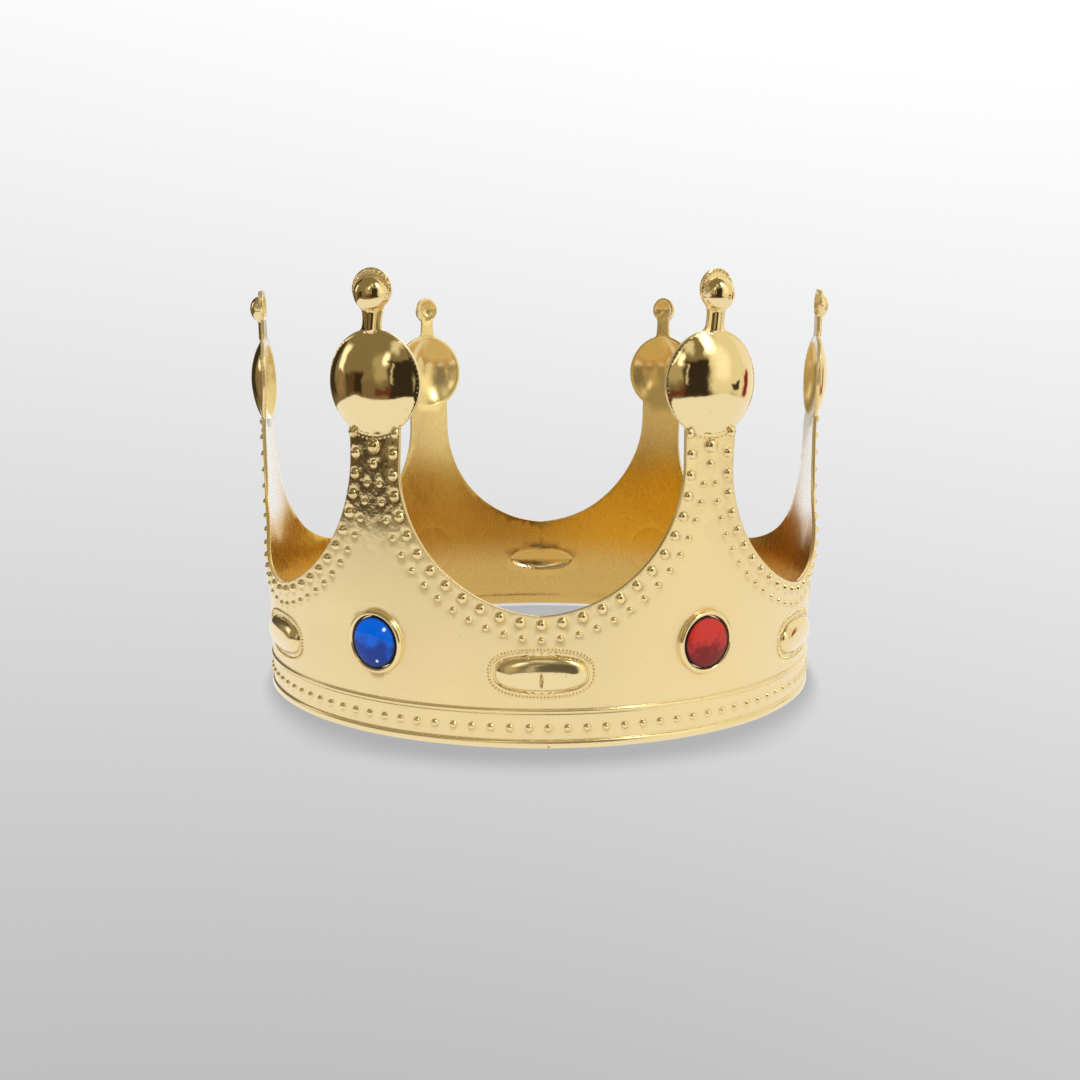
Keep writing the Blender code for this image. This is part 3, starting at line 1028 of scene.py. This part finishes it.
def gold():
    """Vacuum-metallised plastic: satin walls, mirror-bright domes and an inside whose colour holds
    painted reflections, painted light and painted shade.
    """
    material, graph = new_material("metallised_plastic")
    at = graph.position()
    parts = graph.add("ShaderNodeSeparateXYZ", {0: at}).outputs
    height = parts[2]
    polish = graph.attribute("polish")
    inside = graph.attribute("inside")
    drag_and_painted_reflection = graph.attribute("drag_and_painted_reflection")
    painted_sheen = painted_sheen_share(graph, height, inside)
    mottle = graph.noise(at, 90.0, 4.0)
    streaks = graph.noise(graph.stretched(at, (1.0, 1.0, 0.35)), 520.0, 4.0, 0.6)

    colour = graph.mix(polish, GOLD_OUTSIDE, GOLD_POLISHED)
    colour = graph.mix(inside, colour, inside_gold(graph, parts, painted_sheen))
    # Painted dark reflection: mottled darker gold where the necks are crinkled.
    painted_dark_reflection = graph.ramp(graph.noise(at, 260.0, 3.0, 0.55), 0.42, 0.62, 0.0, 0.45)
    colour = graph.mix(graph.math("MULTIPLY", painted_dark_reflection, drag_and_painted_reflection), colour, GOLD_PAINTED_DARK_REFLECTION)
    specks = graph.ramp(graph.noise(at, 1000.0, 2.0, 0.4), 0.765, 0.79)
    colour = graph.mix(graph.math("MULTIPLY", specks, 0.55), colour, GOLD_SPECK)

    matt = graph.blend(inside, graph.ramp(mottle, 0.3, 0.7, 0.33, 0.4),
                       graph.ramp(streaks, 0.3, 0.7, 0.24, 0.30))
    rough = graph.blend(polish, matt, graph.ramp(mottle, 0.35, 0.75, 0.06, 0.11))
    rough = graph.blend(drag_and_painted_reflection, rough, 0.2)

    metal = graph.blend(inside, 0.5, graph.ramp(height, 0.055, 0.08, 1.0, 0.5))
    metal = graph.math("MAXIMUM", graph.blend(polish, metal, 1.0), drag_and_painted_reflection)
    metal = graph.blend(painted_sheen, metal, 0.15)

    normal = graph.bump(graph.noise(at, 2600.0, 2.0), 0.00004, graph.blend(polish, 0.5, 0.06))
    normal = graph.bump(streaks, 0.00005, graph.math("MULTIPLY", inside, 0.15), normal)
    crinkle = graph.noise(at, 380.0, 2.0, 0.5)
    normal = graph.bump(crinkle, 0.0003, graph.math("MULTIPLY", drag_and_painted_reflection, 0.9), normal)
    normal = graph.bump(mottle, 0.0005, 0.12, normal)
    finish_material(graph, {"Base Color": colour, "Metallic": metal, "Roughness": rough,
                            "Normal": normal, "Coat Weight": 0.5, "Coat Roughness": 0.12})
    return material


def acrylic(name, bright, deep, glints):
    """Tinted acrylic over foil, with painted light: a painted lit tone above, a painted shade tone
    below, painted shade near black round its side and painted white glints.
    """
    material, graph = new_material(name)
    place_at = graph.position()
    rise = graph.attribute("gem_rise")
    reach = graph.attribute("gem_reach")
    across = graph.attribute("gem_across")
    cloud = graph.noise(place_at, 330.0, 3.0)
    # Painted light above and painted shade below, broken up by clouds in the acrylic.
    level = graph.math("ADD", rise, graph.ramp(cloud, 0.2, 0.8, -0.45, 0.45))
    colour = graph.mix(graph.ramp(level, -0.5, 0.4), deep, bright)
    # Painted shade round the side.
    colour = graph.mix(graph.ramp(reach, 0.9, 1.0), colour, GEM_PAINTED_SIDE_SHADE)
    # Painted glints: white spots in the colour.
    for (glint_across, glint_rise), size in glints:
        dx = graph.math("SUBTRACT", across, glint_across)
        dz = graph.math("SUBTRACT", rise, glint_rise)
        gap = graph.length(dx, dz)
        colour = graph.mix(graph.ramp(gap, size, 0.4 * size), colour, GLINT)
    normal = graph.bump(cloud, 0.0003, 0.12)
    finish_material(graph, {"Base Color": colour, "Roughness": 0.22, "Specular IOR Level": 0.0,
                            "Coat Weight": 0.5, "Coat Roughness": 0.06, "Normal": normal})
    return material


def gate_scar():
    """The coating where a gate was broken off: browner, rougher and mottled."""
    material, graph = new_material("gate_scar")
    cloud = graph.noise(graph.position(), 1500.0)
    colour = graph.mix(graph.ramp(cloud, 0.4, 0.6), (0.34, 0.20, 0.07, 1.0), (0.72, 0.52, 0.24, 1.0))
    finish_material(graph, {"Base Color": colour, "Metallic": 0.6, "Roughness": 0.4,
                            "Normal": graph.bump(cloud, 0.0002, 0.4)})
    return material


def adhesive():
    material, graph = new_material("clear_adhesive")
    place_at = graph.position()
    cloud = graph.noise(place_at, 500.0)
    colour = graph.mix(cloud, (0.55, 0.5, 0.36, 1.0), (0.68, 0.62, 0.46, 1.0))
    finish_material(graph, {"Base Color": colour, "Roughness": graph.ramp(cloud, 0.3, 0.7, 0.25, 0.45),
                            "Normal": graph.bump(cloud, 0.0002, 0.3)})
    return material


# ------------------------------------------------------------------ gems


def gem_profile():
    """(radius, height from the wall's face) from the back's middle to the top's middle."""
    rows = [(0.0, GEM_BACK), (GEM_RADIUS - 0.25, GEM_BACK), (GEM_RADIUS, GEM_BACK + 0.25),
            (GEM_RADIUS, GEM_GIRDLE - 0.25), (GEM_RADIUS - 0.08, GEM_GIRDLE)]
    for i in range(1, 13):
        turn = math.pi / 2 * i / 12
        share = math.cos(turn) ** 0.8
        rows.append(((GEM_RADIUS - 0.08) * share,
                     GEM_GIRDLE + (GEM_HEIGHT - GEM_GIRDLE) * (1.0 - share ** 2.6)))
    return rows


def seat_axes(node):
    """The seat's centre on the wall's face and its three axes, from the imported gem."""
    low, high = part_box(node)
    middle = (Vector(low) + Vector(high)) / 2
    out = Vector((middle.x, middle.y, 0.0)).normalized()
    side = Vector((-out.y, out.x, 0.0))
    centre = out * wall_radius(middle.z / MM) * MM + Vector((0.0, 0.0, middle.z))
    return centre, side, Vector((0.0, 0.0, 1.0)), out


def turned_faces(rows, count):
    """Faces of a turned body: quads between its rows, and fans to its two end points."""
    faces = []
    back = rows * count
    for i in range(count):
        j = (i + 1) % count
        faces.append((back, j, i))
        faces.append((back + 1, back - count + i, back - count + j))
        for k in range(0, back - count, count):
            faces.append((k + i, k + j, k + count + j, k + count + i))
    return faces


def build_gem(node, material):
    centre, side, up, out = seat_axes(node)
    profile = gem_profile()
    count = 64
    spots = []
    for radius, height in profile[1:-1]:
        for i in range(count):
            turn = 2 * math.pi * i / count
            spots.append((radius * math.cos(turn), radius * math.sin(turn), height, radius))
    spots += [(0.0, 0.0, height, 0.0) for height in (profile[0][1], profile[-1][1])]
    places = [centre / MM + side * t + up * rise + out * h for t, rise, h, radius in spots]
    mesh = bpy.data.meshes.new(node + "_cut")
    mesh.from_pydata((warped(np.array(places)) * MM).tolist(), [], turned_faces(len(profile) - 2, count))
    mesh.shade_smooth()
    mesh.set_sharp_from_angle(angle=math.radians(50.0))
    shares = np.array(spots) / GEM_RADIUS
    add_layer(mesh, "gem_rise", shares[:, 1])
    add_layer(mesh, "gem_reach", shares[:, 3])
    add_layer(mesh, "gem_across", shares[:, 0])
    add_piece(node + "_cut", mesh, material, node)


def build_gems():
    # Each gem: painted lit tone, painted shade tone, then painted glints.
    blue = acrylic("blue_acrylic", (0.001, 0.125, 0.70, 1.0), (0.008, 0.038, 0.26, 1.0),
                   (((0.55, 0.58), 0.1), ((0.2, -0.7), 0.08)))
    red = acrylic("red_acrylic", (0.59, 0.036, 0.026, 1.0), (0.20, 0.016, 0.012, 1.0), ())
    for name in ("front_right", "back_right", "side_left"):
        build_gem("gem_" + name, red)
    for name in ("side_right", "back_left", "front_left"):
        build_gem("gem_" + name, blue)


def build_adhesives():
    """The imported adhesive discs, moved with the warped wall they sit on."""
    glue = adhesive()
    for name, node in list(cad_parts.items()):
        if name.startswith("adhesive"):
            mesh = node.data.copy()
            mesh.transform(node.matrix_world)
            places = np.array([vertex.co for vertex in mesh.vertices]) / MM
            mesh.vertices.foreach_set("co", (warped(places) * MM).ravel())
            mesh.materials.clear()
            add_piece(name + "_disc", mesh, glue, name)


def ball_points(rows, count):
    """A ball of radius MM: rows of points from the lowest up, then its two poles."""
    points = []
    for k in range(1, rows + 1):
        rise = math.pi * k / (rows + 1)
        for i in range(count):
            turn = 2 * math.pi * i / count
            points.append(Vector((math.sin(rise) * math.cos(turn),
                                  math.sin(rise) * math.sin(turn), -math.cos(rise))) * MM)
    return points + [Vector((0.0, 0.0, -MM)), Vector((0.0, 0.0, MM))]


def build_mark(name, material, azimuth, z, stand, half_sizes):
    """A small rounded mark left by the mould: half sizes are sideways, outwards and up."""
    mesh = bpy.data.meshes.new(name)
    mesh.from_pydata(ball_points(11, 20), [], turned_faces(11, 20))
    mesh.shade_smooth()
    reach = wall_radius(z) + stand
    turn = math.radians(azimuth)
    spot = Vector((reach * math.sin(turn), -reach * math.cos(turn), z)) * MM
    shape = Matrix.Diagonal((*half_sizes, 1.0))
    mesh.transform(Matrix.Translation(spot) @ Matrix.Rotation(turn, 4, "Z") @ shape)
    add_piece(name, mesh, material)


def build_marks():
    """Where the gates were broken off, in the middle of the front."""
    scar = gate_scar()
    build_mark("lozenge_gate_mark", scar, 0.0, LOZENGE_Z - 1.3, LOZENGE_BULGE - 0.25,
               (0.55, 0.95, 2.1))
    build_mark("valley_gate_mark", scar, 0.0, VALLEY_Z - 0.1, -0.5, (0.45, 0.65, 0.4))
    build_mark("rim_gate_mark", scar, 1.2, 0.55, RIM_PROUD - 0.1, (0.32, 0.3, 0.32))


# ------------------------------------------------------------------ stage, light and camera


# What polished gold sees round the paper: (azimuth, elevation) of the middle, half size and
# softness in degrees, then linear colour. Azimuth 0 is towards the camera, 90 to its right.
ROOM_SHAPES = (
    ((-136.0, 16.0), (14.0, 26.0), 4.0, (0.04, 0.03, 0.015)),
    ((-106.0, 18.0), (7.0, 12.0), 3.0, (1.3, 1.25, 1.1)),
    ((-106.0, -2.0), (8.0, 9.0), 2.0, (0.3, 0.2, 0.12)),
    ((-74.0, -3.0), (17.0, 12.0), 3.0, (0.10, 0.06, 0.03)),
    ((-66.0, -4.0), (8.0, 10.0), 2.0, (0.03, 0.02, 0.01)),
    ((-24.0, 18.0), (12.0, 18.0), 6.0, (0.46, 0.40, 0.24)),
    ((-16.0, 30.0), (5.0, 8.0), 3.0, (1.5, 1.45, 1.3)),
    ((0.0, 48.0), (12.0, 8.0), 5.0, (0.8, 0.75, 0.6)),
    ((72.0, 20.0), (36.0, 38.0), 8.0, (0.86, 0.83, 0.62)),
    ((62.0, 22.0), (14.0, 18.0), 9.0, (1.15, 1.12, 0.95)),
    ((135.0, 20.0), (30.0, 45.0), 8.0, (0.95, 0.9, 0.75)),
    ((12.0, 4.0), (23.0, 26.0), 4.0, (0.035, 0.025, 0.015)),
    ((-4.0, 10.0), (2.5, 14.0), 1.5, (0.6, 0.55, 0.4)),
    ((48.0, 52.0), (14.0, 12.0), 5.0, (2.2, 2.15, 2.0)),
    ((48.0, 52.0), (4.0, 4.0), 2.0, (12.0, 12.0, 11.5)),
    ((86.0, -6.0), (7.0, 5.0), 1.5, (0.06, 0.04, 0.02)),
    ((114.0, -4.0), (6.0, 8.0), 2.0, (0.25, 0.03, 0.02)),
    ((-20.0, -14.0), (14.0, 5.0), 2.0, (0.14, 0.04, 0.02)),
    ((170.0, 34.0), (14.0, 24.0), 5.0, (1.6, 1.55, 1.45)),
)
ROOM_BASE = (0.24, 0.20, 0.11, 1.0)
TABLE = (0.20, 0.15, 0.08, 1.0)
PAPER = (0.93, 0.93, 0.92, 1.0)
GOLD_GLOW = (0.62, 0.47, 0.21, 1.0)  # the floor inside the ring, lit by its walls


def backdrop_grey(graph):
    """The studio's grey for camera rays: lighter upwards and a little to the right."""
    incoming = graph.add("ShaderNodeNewGeometry").outputs["Incoming"]
    parts = graph.add("ShaderNodeSeparateXYZ", {0: incoming}).outputs
    rise = graph.math("MULTIPLY", parts[2], -1.0)
    right = graph.math("MULTIPLY", parts[0], -1.0)
    level = graph.scaled(graph.math("MULTIPLY", rise, rise), 0.088, graph.scaled(rise, 0.604, 0.84))
    return graph.math("ADD", level, graph.math("MULTIPLY", right, graph.scaled(rise, 0.029, 0.093)))


def contact_shade(graph, parts):
    """Painted contact shadow: the share of the backdrop's grey kept beside the ring, and inside it."""
    away = graph.math("SUBTRACT", graph.length(parts[0], parts[1]), BASE_RADIUS * MM)
    front = graph.math("DIVIDE", parts[1], -BASE_RADIUS * MM, clamp=True)
    front = graph.math("MULTIPLY", front, front)
    start = graph.scaled(front, 0.006, -0.002)
    end = graph.scaled(front, 0.0195, 0.0025)
    outside = graph.ramp(away, start, end, 0.68, 1.0)
    within = graph.ramp(away, -0.045, -0.002, 0.76, 0.66)
    return graph.blend(graph.ramp(away, -0.002, 0.0), within, outside)


def mirrored_floor(graph, parts):
    """What polished gold sees of the floor: pale paper that ends in front of the crown."""
    left_front = graph.scaled(parts[0], -0.388, -0.318)
    right_front = graph.scaled(parts[0], 0.22, -0.345)
    end = graph.math("MAXIMUM", left_front, right_front)
    front = graph.ramp(graph.math("SUBTRACT", parts[1], end), -0.006, 0.006)
    left_end = graph.scaled(parts[1], 0.12, -0.355)
    left = graph.ramp(graph.math("SUBTRACT", parts[0], left_end), -0.01, 0.01)
    side = graph.math("MULTIPLY", left, graph.ramp(parts[0], 0.40, 0.38))
    towards = graph.add("ShaderNodeNewGeometry").outputs["Incoming"]
    away = graph.add("ShaderNodeVectorMath", {0: towards, "Scale": -1.0}, operation="SCALE").outputs[0]
    colour = graph.mix(graph.math("MULTIPLY", front, side), room(graph, away), PAPER)
    inside_ring = graph.ramp(graph.length(parts[0], parts[1]), 0.080, 0.088)
    return graph.mix(inside_ring, GOLD_GLOW, colour)


def floor_material():
    material, graph = new_material("studio_floor")
    path = graph.add("ShaderNodeLightPath")
    position = graph.add("ShaderNodeNewGeometry").outputs["Position"]
    parts = graph.add("ShaderNodeSeparateXYZ", {0: position}).outputs
    # Camera rays see the backdrop grey with the painted contact shadow.
    seen = graph.math("MULTIPLY", backdrop_grey(graph), contact_shade(graph, parts))
    colour = graph.mix(path.outputs["Is Glossy Ray"], PAPER, mirrored_floor(graph, parts))
    colour = graph.mix(path.outputs["Is Camera Ray"], colour, seen)
    glow = graph.add("ShaderNodeEmission", {"Color": colour})
    output = graph.add("ShaderNodeOutputMaterial")
    graph.tree.links.new(glow.outputs[0], output.inputs[0])
    return material


def build_floor():
    bpy.ops.mesh.primitive_plane_add(size=6.0)
    floor = bpy.context.object
    floor.name = "studio_floor"
    floor.data.materials.append(floor_material())


def patch(graph, azimuth, elevation, centre, size, soft):
    """A soft-edged rectangle on the sky, in degrees."""
    across = graph.math("ABSOLUTE", graph.math("SUBTRACT", azimuth, centre[0]))
    high = graph.math("ABSOLUTE", graph.math("SUBTRACT", elevation, centre[1]))
    across = graph.ramp(across, size[0] + soft, size[0] - soft)
    high = graph.ramp(high, size[1] + soft, size[1] - soft)
    return graph.math("MULTIPLY", across, high)


def room(graph, direction):
    """The room that polished gold mirrors: a dim warm ceiling, windows and dark shapes."""
    parts = graph.add("ShaderNodeSeparateXYZ", {0: direction}).outputs
    azimuth = graph.math("ARCTAN2", parts[0], graph.math("MULTIPLY", parts[1], -1.0))
    azimuth = graph.math("MULTIPLY", azimuth, 180.0 / math.pi)
    elevation = graph.math("MULTIPLY", graph.math("ARCSINE", parts[2]), 180.0 / math.pi)
    wobble = graph.noise(direction, 3.0, 2.0)
    azimuth = graph.math("ADD", azimuth, graph.ramp(wobble, 0.3, 0.7, -4.0, 4.0))
    elevation = graph.math("ADD", elevation, graph.ramp(wobble, 0.3, 0.7, -3.0, 3.0))
    colour = graph.mix(graph.ramp(elevation, -1.0, 3.0), TABLE, ROOM_BASE)
    for centre, size, soft, tone in ROOM_SHAPES:
        colour = graph.mix(patch(graph, azimuth, elevation, centre, size, soft), colour, tone + (1.0,))
    return colour


def build_world():
    world = bpy.data.worlds.new("studio")
    bpy.context.scene.world = world
    world.use_nodes = True
    graph = Graph(world.node_tree)
    path = graph.add("ShaderNodeLightPath")
    direction = graph.add("ShaderNodeTexCoord").outputs["Generated"]
    across = graph.add("ShaderNodeSeparateXYZ", {0: direction}).outputs[0]
    soft = graph.scaled(across, 0.06, 1.03)
    colour = graph.mix(path.outputs["Is Glossy Ray"], soft, room(graph, direction))
    colour = graph.mix(path.outputs["Is Camera Ray"], colour, backdrop_grey(graph))
    background = graph.add("ShaderNodeBackground", {"Color": colour, "Strength": 1.0})
    output = graph.add("ShaderNodeOutputWorld")
    graph.tree.links.new(background.outputs[0], output.inputs[0])


def build_camera():
    data = bpy.data.cameras.new("camera")
    data.lens = 39.06
    data.sensor_width = 36.0
    data.shift_x = -0.0014
    data.clip_start = 0.01
    camera = bpy.data.objects.new("camera", data)
    camera.location = Vector((0.0, -390.9, 105.4)) * MM
    camera.rotation_euler = (math.radians(90.0 - 9.178), 0.0, 0.0)
    bpy.context.scene.collection.objects.link(camera)
    bpy.context.scene.camera = camera


build_shell()
build_marks()
build_gems()
build_adhesives()
build_floor()
build_world()
build_camera()
bpy.context.scene.view_settings.view_transform = "Standard"
